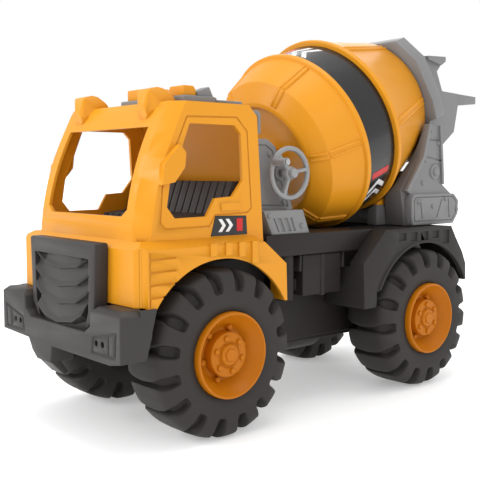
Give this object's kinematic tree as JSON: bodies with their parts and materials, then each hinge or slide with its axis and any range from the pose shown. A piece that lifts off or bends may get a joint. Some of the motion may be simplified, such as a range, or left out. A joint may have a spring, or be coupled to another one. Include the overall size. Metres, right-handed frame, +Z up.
{
  "type": "toy cement mixer truck",
  "caption": "Toy cement mixer truck with an open cab, chunky wheels and a tilted drum that a side hand wheel turns.",
  "frame": {"origin": "on the ground, under the middle of the truck's length and width", "axes": "+Z up, -Y the driving direction, +X the truck's left-hand side, where the hand wheel is"},
  "size_m": [0.1684, 0.392, 0.2826],
  "materials": {
    "yellow_plastic": "moulded, satin gloss",
    "rim_yellow": "moulded, satin gloss",
    "tyre_rubber": "matt rubbery plastic",
    "chassis_plastic": "moulded, matt",
    "fender_plastic": "moulded, matt",
    "bumper_plastic": "moulded, matt",
    "light_grey_plastic": "moulded, satin",
    "satin_grey_plastic": "moulded, satin",
    "pedestal_plastic": "moulded, matt",
    "black_label": "printed film, glossy",
    "steel": "drawn wire",
    "nylon": "natural nylon"
  },
  "bodies": {
    "truck": {"belly_cover": "chassis_plastic", "belly_screws": "steel", "bumper": "bumper_plastic", "cab_floor": "yellow_plastic", "cab_rear_hook": "light_grey_plastic", "cab_shell": "yellow_plastic", "chassis": "chassis_plastic", "crank_bush": "light_grey_plastic", "dash": "yellow_plastic", "discharge_chute": "light_grey_plastic", "drum_collar": "light_grey_plastic", "drum_rests": "yellow_plastic", "front_axle_bushes": "nylon", "gear_housing": "light_grey_plastic", "gear_tower": "light_grey_plastic", "grille": "bumper_plastic", "hopper": "light_grey_plastic", "left_door_label": "black_label", "left_rear_fender": "fender_plastic", "left_side_plate": "light_grey_plastic", "left_side_tank": "chassis_plastic", "left_step_panel": "light_grey_plastic", "rear_axle_bushes": "nylon", "rear_pedestal": "pedestal_plastic", "right_door_label": "black_label", "right_rear_fender": "fender_plastic", "right_side_plate": "light_grey_plastic", "right_side_tank": "chassis_plastic", "right_step_panel": "light_grey_plastic", "roof_box_centre": "yellow_plastic", "roof_box_side": "yellow_plastic", "roof_console": "light_grey_plastic", "roof_horn": "light_grey_plastic", "seat_bench": "bumper_plastic", "tower_cover": "light_grey_plastic"},
    "front_wheels": {"front_axle": "steel", "front_left_tyre": "tyre_rubber", "front_right_tyre": "tyre_rubber", "front_left_rim": "rim_yellow", "front_right_rim": "rim_yellow"},
    "rear_wheels": {"rear_axle": "steel", "rear_left_tyre": "tyre_rubber", "rear_right_tyre": "tyre_rubber", "rear_left_rim": "rim_yellow", "rear_right_rim": "rim_yellow"},
    "drum": {"drum_front_shell": "yellow_plastic", "drum_rear_shell": "yellow_plastic", "drum_belt": "black_label", "drum_spindle": "yellow_plastic", "crown_gear": "nylon"},
    "crank": {"crank_shaft": "steel", "crank_pinion": "nylon", "hand_wheel": "satin_grey_plastic", "knob_pin": "steel"},
    "knob": {"crank_knob": "satin_grey_plastic"}
  },
  "joints": [
    {"name": "front_wheel_spin", "type": "hinge", "parent": "truck", "child": "front_wheels", "pos_m": [0, -0.116, 0.055], "axis": [1, 0, 0], "continuous": true},
    {"name": "rear_wheel_spin", "type": "hinge", "parent": "truck", "child": "rear_wheels", "pos_m": [0, 0.0895, 0.055], "axis": [1, 0, 0], "continuous": true},
    {"name": "drum_spin", "type": "hinge", "parent": "truck", "child": "drum", "pos_m": [0, 0.0234, 0.1946], "axis": [0, 0.9299, 0.3678], "continuous": true},
    {"name": "crank_spin", "type": "hinge", "parent": "truck", "child": "crank", "pos_m": [0, -0.03797, 0.17033], "axis": [1, 0, 0], "continuous": true},
    {"name": "knob_spin", "type": "hinge", "parent": "crank", "child": "knob", "pos_m": [0.053, -0.05381, 0.17807], "axis": [1, 0, 0], "continuous": true}
  ],
  "couplings": [
    {"joint": "crank_spin", "follows": "drum_spin", "ratio": -2}
  ]
}
